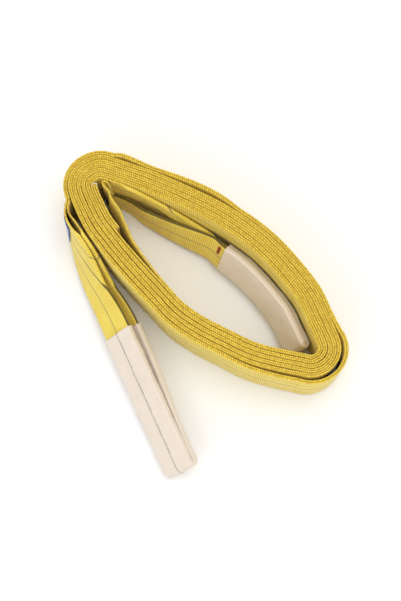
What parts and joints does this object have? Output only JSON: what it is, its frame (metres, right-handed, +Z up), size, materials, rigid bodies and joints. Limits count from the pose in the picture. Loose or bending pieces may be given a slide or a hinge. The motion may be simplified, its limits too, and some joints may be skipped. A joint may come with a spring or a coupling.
{
  "type": "webbing lifting sling",
  "caption": "Flat two-ply webbing lifting sling with folded, sleeved eyes, wound on edge into a long coil, with one eye tucked inside it and the other lying outside.",
  "frame": {"origin": "under the middle of the whole sling's box, on the surface that the coil lies on", "axes": "+Z up, across the webbing's width as it stands on edge; +Y from the outer eye's tip towards the coil's far side; +X towards the coil's right end"},
  "size_m": [0.3492, 0.3988, 0.0914],
  "materials": {
    "webbing": "woven polyester, slight sheen",
    "sleeve": "matt woven wear sleeve",
    "thread": "sewing thread",
    "label": "smooth coated label"
  },
  "bodies": {
    "coil": {"outer_ply": "webbing", "inner_ply": "webbing", "inner_eye_lap": "webbing", "lap_end_overlock": "thread", "inner_eye_webbing": "webbing", "inner_eye_sleeve": "sleeve", "inner_sleeve_seam": "thread", "outer_root_stitching": "thread", "inner_root_stitching": "thread"},
    "outer_eye_legs": {"outer_eye_near_leg": "webbing", "outer_eye_far_leg": "webbing", "label_hem": "label", "label_stitching": "thread"},
    "outer_eye_end": {"outer_eye_bight": "webbing", "outer_eye_sleeve": "sleeve", "outer_sleeve_seam": "thread"},
    "label": {"label_flap": "label"}
  },
  "joints": [
    {"name": "outer_eye_swing", "type": "hinge", "parent": "coil", "child": "outer_eye_legs", "pos_m": [-0.16788, 0.13005, 0], "axis": [0, 0, 1], "range_deg": [-30, 0]},
    {"name": "outer_eye_lift", "type": "hinge", "parent": "outer_eye_legs", "child": "outer_eye_end", "pos_m": [-0.12374, -0.02796, 0.01907], "axis": [-0.6361, -0.2792, -0.7194], "range_deg": [0, 35]},
    {"name": "label_lift", "type": "hinge", "parent": "outer_eye_legs", "child": "label", "pos_m": [-0.17351, 0.12289, 0.00014], "axis": [-0.0144, 0.0031, -0.9999], "range_deg": [0, 110]}
  ]
}
